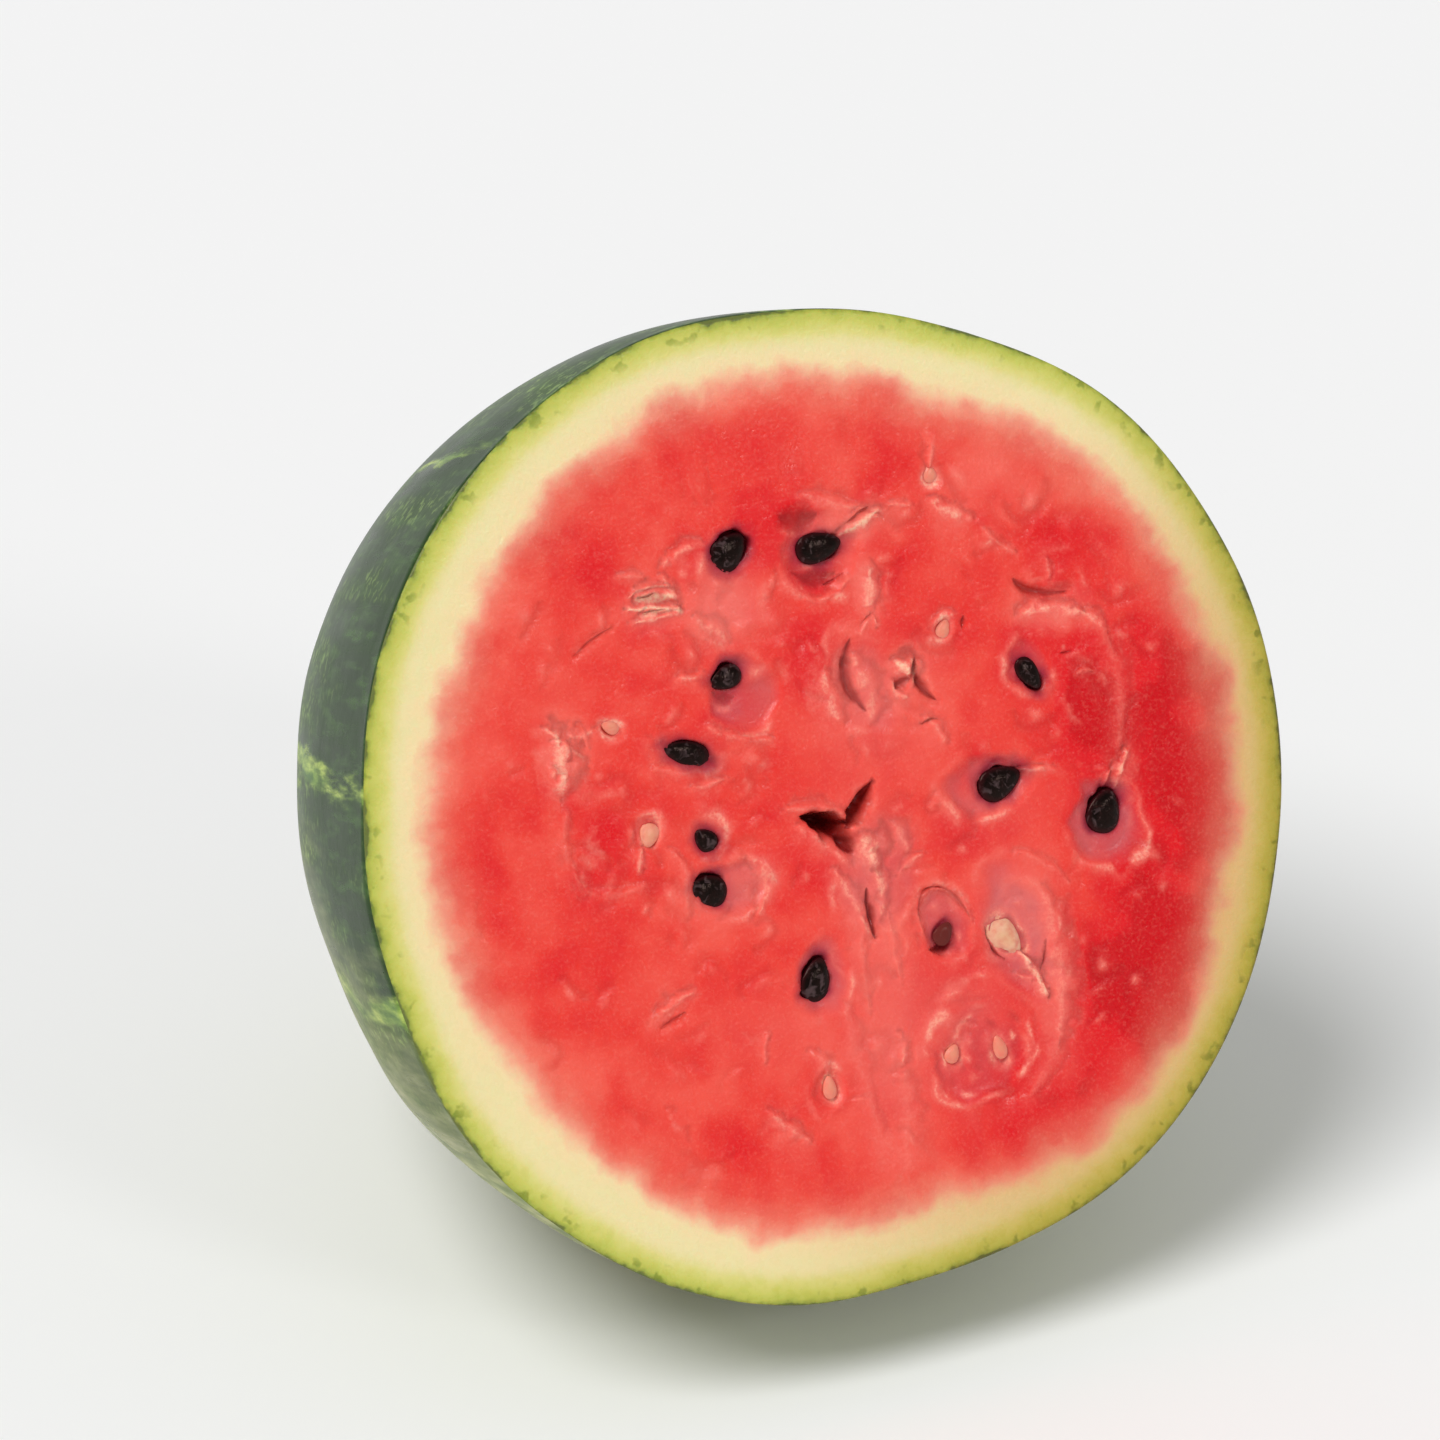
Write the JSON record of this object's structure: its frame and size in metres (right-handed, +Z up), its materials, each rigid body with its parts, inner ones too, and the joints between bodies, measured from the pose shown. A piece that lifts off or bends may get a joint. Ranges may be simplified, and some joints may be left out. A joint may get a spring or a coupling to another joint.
{
  "type": "watermelon half",
  "caption": "Half an oblong red watermelon cut straight across, lying on its side with its cut face leaning back; ripe and unripe seeds lie in hollows in the flesh.",
  "frame": {"origin": "middle of the half's box in plan, on the surface that its field spot lies on", "axes": "+Z up; the cut face looks towards -Y and leans back 23.5 degrees, the way the half balances on its side; +X to the right as one looks at the cut face"},
  "size_m": [0.2086, 0.2074, 0.2135],
  "materials": {
    "melon_flesh_and_rind": "wet red flesh on the cut face, cream and lime rind around it, waxy dark green striped skin outside",
    "ripe_seed_coat": "smooth, wet, almost black",
    "unripe_seed_coat": "smooth, wet, cream"
  },
  "bodies": {
    "root": {"melon_half": "melon_flesh_and_rind", "dark_seed_1": "ripe_seed_coat", "dark_seed_2": "ripe_seed_coat", "dark_seed_3": "ripe_seed_coat", "dark_seed_4": "ripe_seed_coat", "dark_seed_5": "ripe_seed_coat", "dark_seed_6": "ripe_seed_coat", "dark_seed_7": "ripe_seed_coat", "dark_seed_8": "ripe_seed_coat", "dark_seed_9": "ripe_seed_coat", "dark_seed_10": "ripe_seed_coat", "dark_seed_11": "ripe_seed_coat", "pale_seed_1": "unripe_seed_coat", "pale_seed_2": "unripe_seed_coat", "pale_seed_3": "unripe_seed_coat", "pale_seed_4": "unripe_seed_coat", "pale_seed_5": "unripe_seed_coat", "pale_seed_6": "unripe_seed_coat", "pale_seed_7": "unripe_seed_coat", "pale_seed_8": "unripe_seed_coat"}
  },
  "joints": []
}
